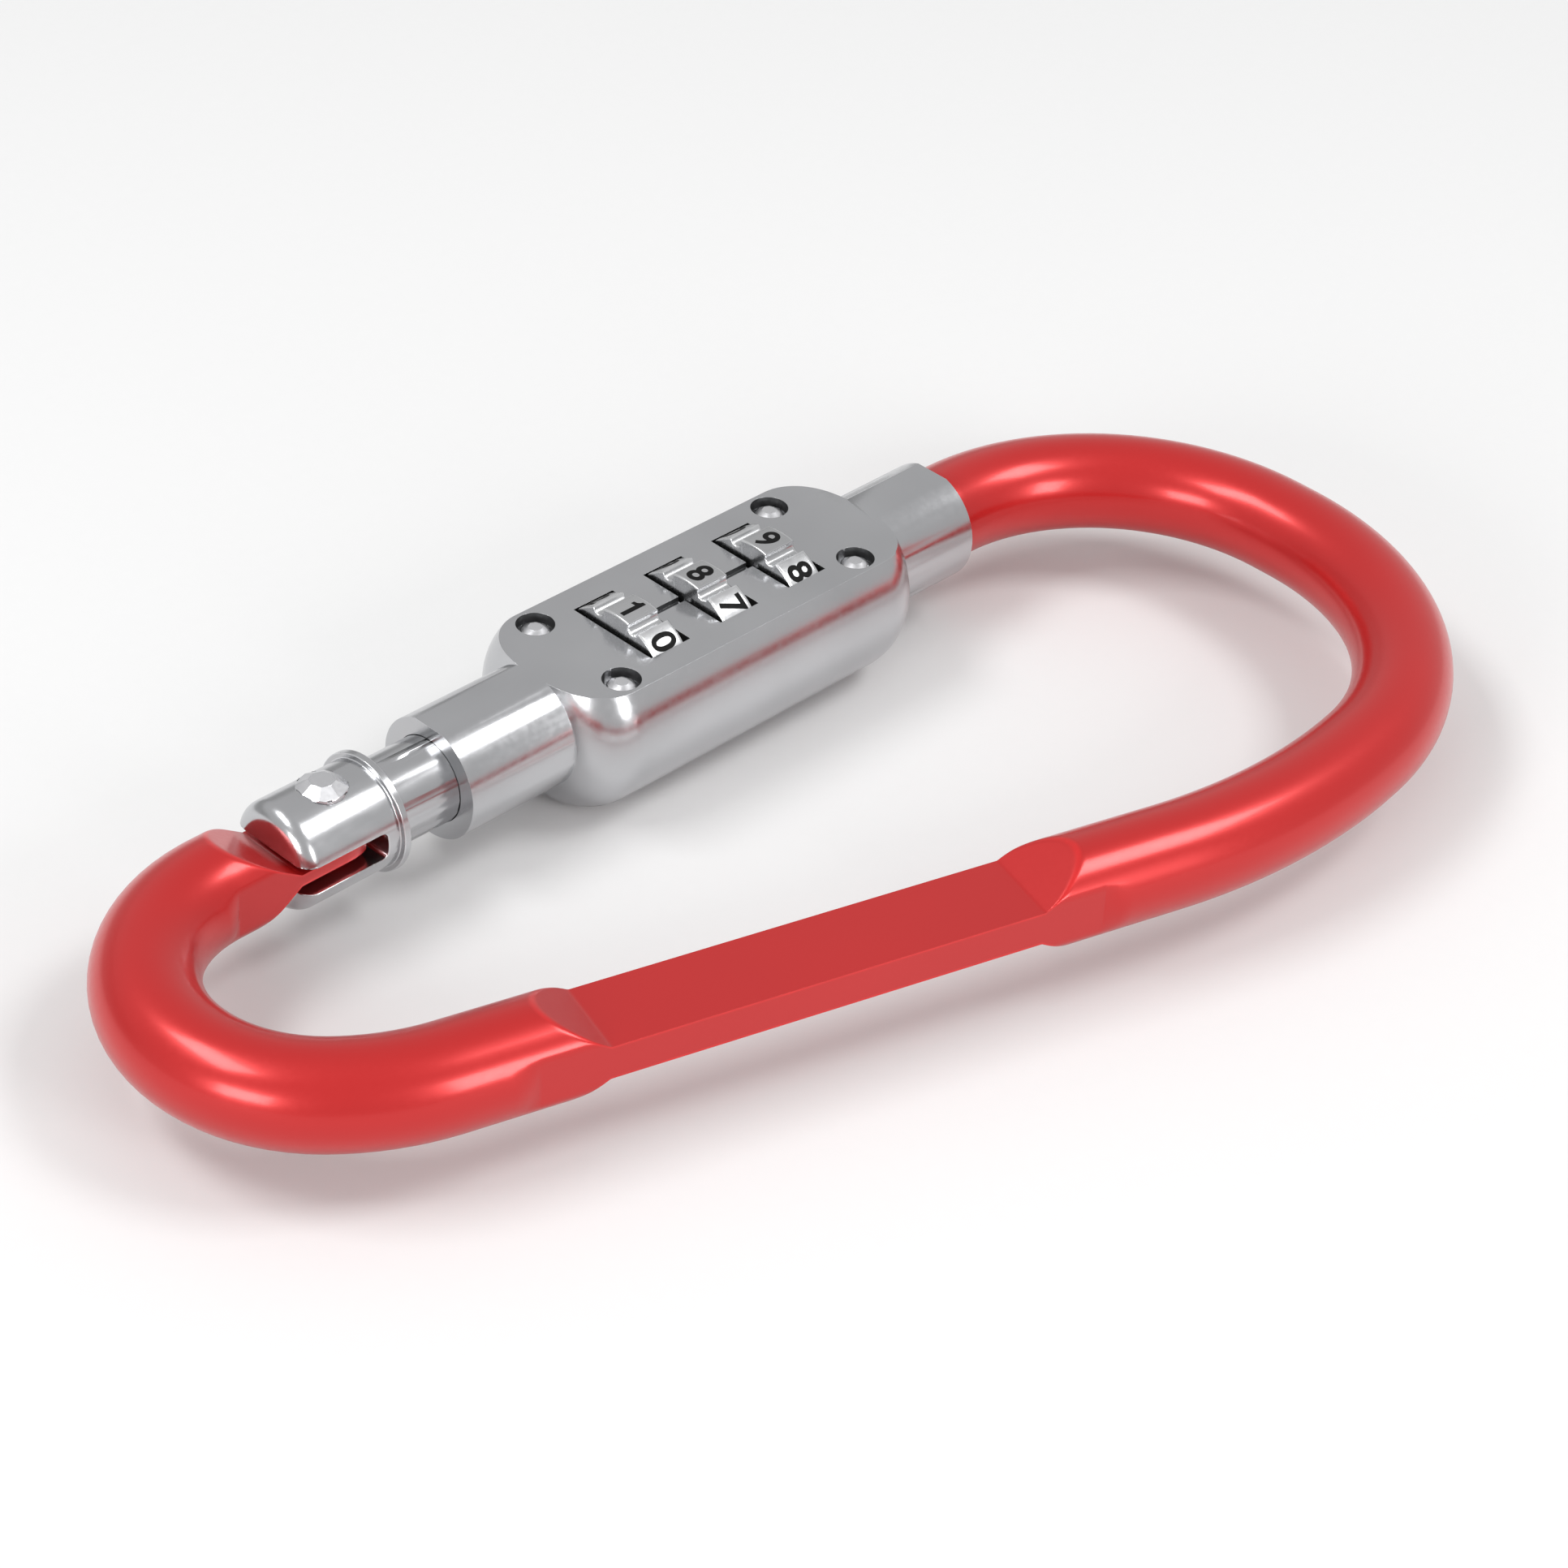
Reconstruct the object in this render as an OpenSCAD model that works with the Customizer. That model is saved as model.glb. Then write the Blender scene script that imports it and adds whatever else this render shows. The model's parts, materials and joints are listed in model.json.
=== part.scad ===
// Three-dial combination-lock carabiner.
// A bent rod loop, a hinged gate barrel and a dial housing that slides along the gate.
// Units are millimetres. +X runs along the gate from the hinge to the nose, +Y to the
// outer side of the loop and +Z up through the dial windows.

/* [Node] */

/* [Rod loop] */
// Rod diameter
rod_d = 8; // [7:0.5:10]
// Hinge bend: radius of the tight arc
bend_1_r = 12.86; // [11:0.01:15]
// Hinge bend: angle of the tight arc
bend_1_a = 139.42; // [130:0.01:148]
// Hinge bend: radius of the easing arc
bend_2_r = 20.01; // [18:0.01:24]
// Hinge bend: angle of the easing arc
bend_2_a = 24.11; // [20:0.01:28]
// Length of the straight spine
spine_len = 58.36; // [50:0.01:70]
// Nose bend: radius of the first easing arc
bend_3_r = 50.87; // [45:0.01:56]
// Nose bend: angle of the first easing arc
bend_3_a = 25.15; // [20:0.01:28]
// Nose bend: radius of the middle arc
bend_4_r = 23.66; // [21:0.01:26]
// Nose bend: angle of the middle arc
bend_4_a = 81.59; // [76:0.01:86]
// Nose bend: radius of the last arc
bend_5_r = 19.64; // [17:0.01:22]
// Half height of the milled flats on the spine
flat_z = 1.45; // [1.2:0.05:3]
// Distance along the spine to the first flat
flat_start = 10.65; // [8:0.05:14]
// Length of each flat
flat_len = 35.05; // [25:0.05:40]
// Length of the sloped run-out at each end of a flat
flat_ramp = 4.2; // [2:0.1:8]

/* [Hinge] */
// Distance from the end of the hinge bend to the rivet
rivet_x = 10.1; // [9:0.05:12]
// Rivet shank diameter
rivet_d = 2; // [1.6:0.1:2.4]
// Rivet head diameter
rivet_head_d = 3.9; // [3:0.1:4.4]
// Rivet head: height of the flat top above the gate axis
rivet_head_z = 4.95; // [4.7:0.05:5.4]
// Tang thickness
tang_t = 1; // [0.8:0.05:1.6]
// Tang width
tang_w = 6.8; // [5:0.1:7.4]
// Tang: start of the flat, from the end of the hinge bend
tang_x = 5.35; // [4.8:0.05:6]
// Tang: angle of the sloped sides
tang_slope = 33.7; // [33.6:0.1:40]
// Tang: length of the end face from the rivet axis
tang_end = 2.2; // [1.6:0.05:2.4]
// Opening angle of the gate
gate_open = 20; // [10:1:22]

/* [Gate barrel] */
// Barrel diameter
barrel_d = 8.74; // [8:0.02:9.4]
// Barrel: hinge end face, from the end of the hinge bend
barrel_x0 = 5.1; // [4.6:0.05:5.6]
// Barrel: edge radius of the hinge end
barrel_edge = 1.3; // [0.6:0.1:1.8]
// Barrel: face beside the collar
barrel_x1 = 13.9; // [13:0.05:15]
// Collar diameter
collar_d = 9.7; // [9:0.05:9.9]
// Collar thickness
collar_t = 0.6; // [0.4:0.05:1]
// Slot height
slot_h = 2.3; // [1.9:0.05:2.6]
// Slot: closed end, from the end of the hinge bend
slot_x = 12.75; // [12.6:0.05:13]
// Slot: corner radius at the closed end
slot_r = 0.5; // [0.2:0.1:0.9]
// Sliding shaft diameter
shaft_d = 7.1; // [6.4:0.05:7.4]
// Sliding shaft: end inside the housing
shaft_end = 27; // [26:0.1:29]

/* [Lock housing] */
// Neck diameter
neck_d = 10; // [9:0.1:11]
// Hinge-side neck: end face
neck_x0 = 20.4; // [19:0.05:22]
// Nose-side neck: end face
neck_x1 = 75.3; // [74:0.05:77]
// Body: hinge-side end
body_x0 = 30.6; // [30:0.05:32]
// Body: nose-side end
body_x1 = 67; // [66:0.05:68]
// Diameter of the turned body
body_d = 16.5; // [16.3:0.1:16.9]
// Body: rounding of both ends
body_r = 4.5; // [4:0.1:4.8]
// Height of the flat top above the gate axis
top_z = 4.75; // [4.5:0.05:4.8]
// Depth of the belly below the gate axis
belly_z = 7.9; // [7.7:0.05:8]
// Travel of the housing along the shaft
slide_travel = 5.5; // [4:0.1:5.6]
// Radial gap of the sliding and turning fits
fit_gap = 0.05; // [0.03:0.01:0.08]

/* [Dials] */
// First window: hinge-side edge
window_x = 39.08; // [39:0.01:40]
// Window length along the gate
window_w = 4.15; // [4:0.01:4.3]
// Spacing of the dials
dial_pitch = 7.46; // [7.4:0.01:7.6]
// Dial wheel diameter
dial_d = 12.7; // [12.4:0.05:12.8]
// Dial wheel width
dial_w = 3.2; // [3:0.05:3.4]
// Dial wheel: offset from the window edge
dial_in = 0.32; // [0.2:0.01:0.5]
// Digit lands on a wheel
dial_lands = 10; // [10:1:10]
// Radius of the flutes between the lands
flute_r = 0.58; // [0.4:0.01:0.7]
// Distance of the flute centres from the gate axis
flute_at = 6.25; // [6:0.01:6.4]
// Code sleeve outside diameter
sleeve_d = 6.4; // [6:0.1:6.6]
// Code sleeve bore diameter
sleeve_bore = 4.7; // [4.4:0.1:4.9]
// Code sleeve length
sleeve_len = 7.2; // [6.8:0.05:7.3]
// Index groove width
index_w = 0.7; // [0.4:0.05:1]
// Index groove depth
index_t = 0.45; // [0.2:0.05:0.6]

/* [Fasteners and springs] */
// Cover rivets: distance of the axes from the gate axis
crivet_y = 4.85; // [4.7:0.05:5]
// Cover rivets: hinge-side position
crivet_x0 = 35.5; // [35.2:0.05:36]
// Cover rivets: nose-side position
crivet_x1 = 61.1; // [60.8:0.05:61.6]
// Cover rivets: recess diameter
recess_d = 3.1; // [2.8:0.1:3.4]
// Cover rivets: recess depth
recess_t = 0.95; // [0.5:0.05:1.2]
// Cover rivets: head diameter
crivet_head_d = 2.3; // [2:0.1:2.6]
// Cover rivets: shank diameter
crivet_d = 1.6; // [1.4:0.1:1.7]
// Cover rivets: blind end of the shank, from the gate axis
crivet_z = -5.2; // [-5.4:0.1:-4.4]
// Spindle diameter
spindle_d = 3.2; // [2.8:0.1:3.4]
// Nose tongue diameter
tongue_d = 4.3; // [3.6:0.1:4.4]
// Nose tongue: tip position
tongue_x = 70.6; // [70.2:0.1:71.5]

/* [Hidden] */
$fn = 96;
e = 0.01;
rod_r = rod_d / 2;
lock_gap = 0.02;
seam = 0.06;
lap = 0.5;

// A point reached by turning from heading h around a left-hand arc of radius r by angle a.
function arc_end(p, h, r, a) = [
    p[0] + r * (sin(h + a) - sin(h)),
    p[1] - r * (cos(h + a) - cos(h))
];
function line_end(p, h, len) = [p[0] + len * cos(h), p[1] + len * sin(h)];

// Centreline stations of the rod: position and heading at the start of each piece.
bend_5_a = 360 - bend_1_a - bend_2_a - bend_3_a - bend_4_a;
h1 = 180;
p1 = [0, 0];
h2 = h1 + bend_1_a;
p2 = arc_end(p1, h1, bend_1_r, bend_1_a);
h3 = h2 + bend_2_a;
p3 = arc_end(p2, h2, bend_2_r, bend_2_a);
p4 = line_end(p3, h3, spine_len);
h4 = h3 + bend_3_a;
p5 = arc_end(p4, h3, bend_3_r, bend_3_a);
h5 = h4 + bend_4_a;
p6 = arc_end(p5, h4, bend_4_r, bend_4_a);
// The short straight before the last arc is the length that brings the rod back to the gate axis.
p6b = arc_end(p6, h5, bend_5_r, bend_5_a);
join_len = -p6b[1] / sin(h5);
p7 = line_end(p6, h5, join_len);
p8 = arc_end(p7, h5, bend_5_r, bend_5_a);

// Housing, wheel and sleeve positions along the gate.
function dial_x(i) = window_x + dial_in + dial_w / 2 + (i - 1) * dial_pitch;
pocket_r = dial_d / 2 + 0.1;
sleeve_r = sleeve_d / 2;
journal_r = sleeve_r + fit_gap;
key_r = sleeve_r + 0.4;
key_w = 0.8;
first_sleeve = dial_x(1) - sleeve_len / 2;
last_sleeve = dial_x(3) + sleeve_len / 2;
shoulder_x = first_sleeve - 1.2;
bush_len = 2;
bush_x = last_sleeve + 0.2;
end_bore_r = sleeve_r + 0.5;
ring_x = bush_x + bush_len + 0.05;
ring_t = 0.7;
spindle_end = ring_x + ring_t + 0.8;
socket_x = tongue_x - 1.2;
nose_x = neck_x1 + 0.12;
exit_h = tongue_d + 0.2;
exit_x = tongue_x - 0.7;

// Bottom cover outline and seats.
cover_top = -3.2;
cover_w = 13;
cover_x0 = body_x0 + 2;
cover_x1 = body_x1 - 2.6;
cover_r = 4.2;
channel_w = 7;
channel_z = 6.85;
channel_len = 3;

// Plan box of the whole part; the shared frame has its origin at the middle of the box's base.
box_x0 = -bend_1_r - rod_r;
box_x1 = arc_end(p5, h4, bend_4_r, 450 - h4)[0] + rod_r;
box_y0 = arc_end(p4, h3, bend_3_r, 360 - h3)[1] - rod_r;
box_y1 = body_d / 2;
frame_shift = [-(box_x0 + box_x1) / 2, -(box_y0 + box_y1) / 2, belly_z];

// Moves everything drawn about the gate axis into the shared frame.
module placed() {
    translate(frame_shift) children();
}

// Cylinder along X from x0 to x1.
module xcyl(x0, x1, r) {
    translate([x0, 0, 0]) rotate([0, 90, 0]) cylinder(r = r, h = x1 - x0);
}

// Rod along a left-hand arc. A piece with lap set is slightly thinner and runs into its neighbours.
module rod_arc(p, h, r, a, lap = 0) {
    turn = lap / r * 180 / PI;
    translate([p[0] - r * sin(h), p[1] + r * cos(h), 0])
        rotate([0, 0, h - 90 - turn])
            rotate_extrude(angle = a + 2 * turn)
                translate([r, 0]) circle(r = lap > 0 ? rod_r - seam : rod_r);
}

// Straight rod.
module rod_line(p, h, len, lap = 0) {
    translate([p[0], p[1], 0]) rotate([0, 0, h]) rotate([-90, 0, 0]) rotate([0, 90, 0])
        translate([0, 0, -lap])
            cylinder(r = lap > 0 ? rod_r - seam : rod_r, h = len + 2 * lap);
}

// Wedge removed above a flat with a sloped run-out at each end, drawn along X from zero.
module flat_cut(len, ramp, z) {
    rise = rod_r - z;
    over = (rise + 1) / rise * ramp;
    translate([0, rod_r + 2, 0]) rotate([90, 0, 0])
        linear_extrude(2 * rod_r + 4)
            polygon([[0, z], [len, z], [len + over, rod_r + 1], [-over, rod_r + 1]]);
}

// Plan of the hinge tang, which keeps clear of the slot through the whole swing.
module tang_plan() {
    half = tang_w / 2;
    reach = slot_x - rivet_x - 0.12;
    difference() {
        union() {
            translate([-1, -half]) square([rivet_x + 1, tang_w]);
            translate([rivet_x, 0]) circle(r = half);
        }
        translate([rivet_x + tang_end, -half - 1]) square([half, tang_w + 2]);
        for (s = [-1, 1])
            translate([rivet_x, 0]) rotate(s * gate_open)
                translate([reach, -half - 1]) square([half, tang_w + 2]);
    }
}

// Rod end with the two sloped faces that run down to the flat tang.
module tang_blank() {
    run = (rod_r + 1 - tang_t / 2) / tan(tang_slope);
    intersection() {
        xcyl(0, rivet_x + tang_w, rod_r);
        translate([0, rod_r + 1, 0]) rotate([90, 0, 0])
            linear_extrude(2 * rod_r + 2)
                polygon([
                    [-1, rod_r + 1],
                    [tang_x - run, rod_r + 1], [tang_x, tang_t / 2],
                    [rivet_x + tang_w, tang_t / 2], [rivet_x + tang_w, -tang_t / 2],
                    [tang_x, -tang_t / 2], [tang_x - run, -rod_r - 1],
                    [-1, -rod_r - 1]
                ]);
        translate([0, 0, -rod_r - 1]) linear_extrude(2 * rod_r + 2)
            union() {
                translate([-1, -rod_r - 1]) square([tang_x + 1.4, 2 * rod_r + 2]);
                tang_plan();
            }
    }
}

module carabiner_frame() color([0.5, 0.03, 0.03]) placed() {
    difference() {
        union() {
            rod_arc(p1, h1, bend_1_r, bend_1_a);
            rod_arc(p2, h2, bend_2_r, bend_2_a, lap);
            rod_line(p3, h3, spine_len);
            rod_arc(p4, h3, bend_3_r, bend_3_a, lap);
            rod_arc(p5, h4, bend_4_r, bend_4_a);
            rod_line(p6, h5, join_len, lap);
            rod_arc(p7, h5, bend_5_r, bend_5_a);
            translate([nose_x, 0, 0]) rotate([90, 0, 0]) rotate([0, 90, 0])
                cylinder(r = rod_r - seam, h = p8[0] + lap - nose_x);
            xcyl(tongue_x + 0.5, nose_x + 1, tongue_d / 2);
            translate([tongue_x + 0.5, 0, 0]) rotate([0, -90, 0])
                cylinder(r1 = tongue_d / 2, r2 = tongue_d / 2 - 0.5, h = 0.5);
            tang_blank();
            translate([rivet_x, 0, 0])
                cylinder(r = 2.1, h = slot_h - 2 * fit_gap, center = true);
        }
        translate([p3[0], p3[1], 0]) rotate([0, 0, h3]) translate([flat_start, 0, 0]) {
            flat_cut(flat_len, flat_ramp, flat_z);
            mirror([0, 0, 1]) flat_cut(flat_len, flat_ramp, flat_z);
        }
        translate([rivet_x, 0, -rod_r])
            cylinder(r = rivet_d / 2 + fit_gap, h = 2 * rod_r);
    }
}

module gate_barrel() color([0.53, 0.535, 0.55]) placed() {
    br = barrel_d / 2;
    difference() {
        union() {
            xcyl(barrel_x0 + barrel_edge, barrel_x1 + e, br);
            translate([barrel_x0 + barrel_edge, 0, 0]) rotate([0, -90, 0])
                rotate_extrude() intersection() {
                    union() {
                        square([br - barrel_edge, barrel_edge]);
                        translate([br - barrel_edge, 0]) circle(r = barrel_edge);
                    }
                    square([br, barrel_edge]);
                }
            xcyl(barrel_x1, barrel_x1 + collar_t, collar_d / 2);
            xcyl(barrel_x1 + collar_t, shaft_end, shaft_d / 2);
        }
        translate([0, rod_r + 2, 0]) rotate([90, 0, 0])
            linear_extrude(2 * rod_r + 4)
                union() {
                    translate([0, -slot_h / 2]) square([slot_x - slot_r, slot_h]);
                    translate([0, -slot_h / 2 + slot_r]) square([slot_x, slot_h - 2 * slot_r]);
                    for (s = [-1, 1])
                        translate([slot_x - slot_r, s * (slot_h / 2 - slot_r)]) circle(r = slot_r);
                }
        translate([rivet_x, 0, -rod_r - 1])
            cylinder(r = rivet_d / 2 + lock_gap, h = 2 * rod_r + 2);
        xcyl(slot_x - 0.5, 19, 0.95);
        xcyl(21, shaft_end + 1, spindle_d / 2 + lock_gap);
        translate([24, 0, -shaft_d]) cylinder(r = 0.6 + lock_gap, h = 2 * shaft_d);
    }
}

// Faceted rivet head: a short rim, eight sloped facets and a flat top.
module rivet_head() {
    head_r = rivet_head_d / 2;
    translate([0, 0, 3.55]) cylinder(r = head_r, h = 0.75);
    translate([0, 0, 4.3])
        cylinder(r1 = head_r / cos(22.5) - 0.05, r2 = head_r * 0.5, h = rivet_head_z - 4.3, $fn = 8);
}

module hinge_rivet() color([0.78, 0.78, 0.8]) placed() {
    translate([rivet_x, 0, 0]) {
        translate([0, 0, -4.5]) cylinder(r = rivet_d / 2, h = 9);
        for (m = [0, 1]) mirror([0, 0, m])
            difference() {
                intersection() {
                    rivet_head();
                    cylinder(r = rivet_head_d / 2, h = rod_d);
                }
                translate([-rivet_x, 0, 0]) xcyl(0, barrel_x1, barrel_d / 2 + lock_gap);
            }
    }
}

module hinge_plunger() color([0.7, 0.7, 0.68]) placed() {
    tip = rivet_x + tang_end + 0.02;
    xcyl(tip, slot_x + 1.2, 0.85);
    xcyl(slot_x + 1.1, slot_x + 2.4, 0.4);
}

// Round-wire compression spring along X with a shut coil at each end.
module coil(x0, x1, rm, rw, turns) {
    steps = 18;
    sides = 8;
    shut = 1;
    tight = 2.05 * rw;
    n = steps * (turns + 2 * shut);
    rise = (x1 - x0 - 2 * rw - 2 * tight * shut) / turns;
    function lift(t) = t < shut ? tight * t
        : t > turns + shut ? tight * (t - turns) + rise * turns
        : tight * shut + rise * (t - shut);
    pts = [
        for (i = [0 : n]) for (j = [0 : sides - 1])
            let (t = i / steps, a = 360 * t, b = 360 * j / sides)
            [x0 + rw + lift(t) + rw * sin(b), (rm + rw * cos(b)) * cos(a), (rm + rw * cos(b)) * sin(a)]
    ];
    sides_faces = [
        for (i = [0 : n - 1]) for (j = [0 : sides - 1])
            let (k = (j + 1) % sides)
            [i * sides + j, i * sides + k, (i + 1) * sides + k, (i + 1) * sides + j]
    ];
    caps = [[for (j = [sides - 1 : -1 : 0]) j], [for (j = [0 : sides - 1]) n * sides + j]];
    polyhedron(points = pts, faces = concat(sides_faces, caps), convexity = 8);
}

module hinge_spring() color([0.6, 0.6, 0.62]) placed() {
    coil(slot_x + 1.25, 18.9, 0.68, 0.16, 6);
}

module lock_spindle() color([0.66, 0.67, 0.7]) placed() {
    difference() {
        union() {
            xcyl(21.1, spindle_end, spindle_d / 2);
            for (i = [1 : 3])
                translate([dial_x(i) - 3, -0.5, -sleeve_bore / 2 + 0.1])
                    cube([0.8, 1, sleeve_bore / 2 - 0.1]);
        }
        translate([24, 0, -shaft_d]) cylinder(r = 0.6 + lock_gap, h = 2 * shaft_d);
        translate([ring_x - 0.02, 0, 0]) rotate([0, 90, 0])
            difference() {
                cylinder(r = spindle_d, h = ring_t + 0.04);
                cylinder(r = spindle_d / 2 - 0.3, h = ring_t + 0.04);
            }
    }
}

module spindle_pin() color([0.62, 0.62, 0.64]) placed() {
    translate([24, 0, -shaft_d / 2 + 0.25]) cylinder(r = 0.6, h = shaft_d - 0.5);
}

// Snap ring with a mouth on one side.
module stop_ring() color([0.55, 0.56, 0.58]) placed() {
    difference() {
        xcyl(ring_x, ring_x + ring_t, sleeve_r - 0.2);
        xcyl(ring_x - 1, ring_x + ring_t + 1, spindle_d / 2 - 0.3 + lock_gap);
        translate([ring_x - 1, 0, -1.1]) cube([ring_t + 2, 5, 2.2]);
    }
}

module return_spring() color([0.6, 0.6, 0.62]) placed() {
    coil(shaft_end + 0.02, shoulder_x - 0.02, 2.75, 0.3, 5);
}

// Half outline of the turned body, drawn as [radius, distance along the gate].
module body_profile() {
    intersection() {
        union() {
            translate([0, body_x0]) square([body_d / 2 - body_r, body_x1 - body_x0]);
            translate([0, body_x0 + body_r]) square([body_d / 2, body_x1 - body_x0 - 2 * body_r]);
            for (x = [body_x0 + body_r, body_x1 - body_r])
                translate([body_d / 2 - body_r, x]) circle(r = body_r);
        }
        translate([0, body_x0]) square([body_d / 2, body_x1 - body_x0]);
    }
}

// Outside of the housing body: a turned barrel milled flat along its top and its belly.
module body_shape() {
    intersection() {
        rotate([0, 90, 0]) rotate_extrude() body_profile();
        translate([body_x0 - 1, -body_d, -belly_z])
            cube([body_x1 - body_x0 + 2, 2 * body_d, belly_z + top_z]);
    }
}

// Space removed for the cover, grown by gap on its side faces.
module cover_space(gap, top) {
    x0 = cover_x0 - gap;
    x1 = cover_x1 + gap;
    w = cover_w / 2 + gap;
    translate([0, 0, -belly_z - 1]) linear_extrude(belly_z + 1 + top)
        union() {
            translate([x0 + cover_r, -w]) square([x1 - x0 - 2 * cover_r, 2 * w]);
            translate([x0, -w + cover_r]) square([x1 - x0, 2 * w - 2 * cover_r]);
            for (x = [x0 + cover_r, x1 - cover_r]) for (s = [-1, 1])
                translate([x, s * (w - cover_r)]) circle(r = cover_r);
        }
}

// Places its children on the four cover rivet axes.
module at_rivets() {
    for (x = [crivet_x0, crivet_x1]) for (s = [-1, 1])
        translate([x, s * crivet_y, 0]) children();
}

module lock_housing() color([0.53, 0.535, 0.55]) placed() {
    difference() {
        union() {
            body_shape();
            intersection() {
                xcyl(neck_x0, neck_x1, neck_d / 2);
                translate([0, -neck_d, -neck_d]) cube([neck_x1 + 5, 2 * neck_d, neck_d + top_z]);
            }
        }
        cover_space(lock_gap, cover_top);
        for (i = [1 : 3]) {
            xw = window_x + (i - 1) * dial_pitch;
            xcyl(xw, xw + window_w, pocket_r);
            translate([xw, -pocket_r, -belly_z]) cube([window_w, 2 * pocket_r, belly_z]);
        }
        for (i = [1 : 2])
            translate([window_x + window_w + (i - 1) * dial_pitch - e, -index_w / 2, top_z - index_t])
                cube([dial_pitch - window_w + 2 * e, index_w, index_t + 1]);
        xcyl(neck_x0 - 1, shoulder_x, shaft_d / 2 + fit_gap);
        xcyl(shoulder_x - 1, first_sleeve, spindle_d / 2 + 0.1);
        xcyl(first_sleeve - 0.1, bush_x, journal_r);
        translate([first_sleeve + 1, -key_w / 2 - 0.1, 0]) cube([bush_x - first_sleeve - 1, key_w + 0.2, key_r + 0.05]);
        xcyl(bush_x, neck_x1 + 1, end_bore_r);
        translate([exit_x, 0, -exit_h / 2]) cube([neck_x1, neck_d, exit_h]);
        at_rivets() {
            translate([0, 0, top_z - recess_t]) cylinder(r = recess_d / 2, h = recess_t + 1);
            translate([0, 0, -belly_z]) cylinder(r = crivet_d / 2 + lock_gap, h = belly_z + top_z);
        }
    }
}

module bottom_cover() color([0.53, 0.535, 0.55]) placed() {
    difference() {
        intersection() {
            body_shape();
            cover_space(0, cover_top - lock_gap);
        }
        for (i = [1 : 3]) {
            xw = window_x + (i - 1) * dial_pitch;
            xcyl(xw, xw + window_w, pocket_r);
            translate([dial_x(i) - channel_len / 2, -channel_w / 2, -channel_z])
                cube([channel_len, channel_w, 4]);
        }
        xcyl(cover_x0 - 1, neck_x0 + 60, neck_d / 2 - 0.6);
        at_rivets()
            translate([0, 0, crivet_z - 0.1]) cylinder(r = crivet_d / 2 + lock_gap, h = belly_z);
    }
}

module cover_rivets() color([0.6, 0.61, 0.63]) placed() {
    z0 = top_z - recess_t;
    at_rivets() {
        translate([0, 0, crivet_z]) cylinder(r = crivet_d / 2, h = z0 - crivet_z + e);
        translate([0, 0, z0]) cylinder(r = crivet_head_d / 2, h = 0.4);
        translate([0, 0, z0 + 0.4 - e])
            cylinder(r1 = crivet_head_d / 2, r2 = crivet_head_d / 4, h = 0.36, $fn = 8);
    }
}

module end_bush() color([0.74, 0.66, 0.42]) placed() {
    difference() {
        xcyl(bush_x + lock_gap, bush_x + bush_len, end_bore_r - lock_gap);
        xcyl(bush_x - 1, bush_x + bush_len + 1, spindle_d / 2 + fit_gap);
    }
}

// Hardened insert that takes the nose tongue; its outer side is open.
module nose_socket() color([0.5, 0.51, 0.53]) placed() {
    difference() {
        xcyl(socket_x, neck_x1 - 0.1, end_bore_r - lock_gap);
        xcyl(socket_x - 1, neck_x1, tongue_d / 2 + 0.1);
        translate([exit_x, 0, -exit_h / 2]) cube([neck_x1, neck_d, exit_h]);
    }
}

// Ring with ten digit lands, flutes between them and ten inner keyways.
module dial_wheel(i) {
    r = dial_d / 2;
    c = 0.12;
    difference() {
        translate([dial_x(i) - dial_w / 2, 0, 0]) rotate([0, 90, 0]) {
            cylinder(r1 = r - c, r2 = r, h = c);
            translate([0, 0, c]) cylinder(r = r, h = dial_w - 2 * c);
            translate([0, 0, dial_w - c]) cylinder(r1 = r, r2 = r - c, h = c);
        }
        xcyl(dial_x(i) - dial_w, dial_x(i) + dial_w, sleeve_r + lock_gap);
        for (k = [0 : dial_lands - 1])
            rotate([360 / dial_lands * (k + 0.5), 0, 0]) translate([0, 0, flute_at])
                xcyl(dial_x(i) - dial_w, dial_x(i) + dial_w, flute_r);
        for (k = [0 : dial_lands - 1])
            rotate([360 / dial_lands * k, 0, 0])
                translate([dial_x(i) - dial_w, -key_w / 2 - 0.05, sleeve_r - 0.5])
                    cube([2 * dial_w, key_w + 0.1, key_r + 0.05 - sleeve_r + 0.5]);
    }
}

// Sleeve with one outer key for its wheel and one inner gate for the spindle fin.
module code_sleeve(i) {
    difference() {
        union() {
            xcyl(dial_x(i) - sleeve_len / 2 + 0.02, dial_x(i) + sleeve_len / 2, sleeve_r);
            translate([dial_x(i) - dial_w / 2 + 0.05, -key_w / 2, 0])
                cube([dial_w - 0.1, key_w, key_r]);
        }
        xcyl(dial_x(i) - sleeve_len, dial_x(i) + sleeve_len, sleeve_bore / 2);
        rotate([72 * i, 0, 0]) translate([dial_x(i) - sleeve_len, -0.6, 0])
            cube([2 * sleeve_len, 1.2, sleeve_bore / 2 + 0.45]);
    }
}

// Leaf spring in the cover whose round nose sits in a flute under the wheel.
module detent_spring(i) {
    a = 180 / dial_lands;
    ny = -flute_at * sin(a);
    nz = -flute_at * cos(a);
    w = 2.4;
    translate([dial_x(i) - w / 2, 0, 0]) rotate([90, 0, 90]) linear_extrude(w)
        union() {
            translate([ny - 0.22, -channel_z + 0.02]) square([5.5, 0.18]);
            translate([ny - 0.22, -channel_z + 0.02]) square([0.44, nz + channel_z]);
            translate([ny, nz]) circle(r = 0.42, $fn = 48);
            translate([2.6, -channel_z + 0.02]) square([0.8, 0.75]);
        }
}

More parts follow.
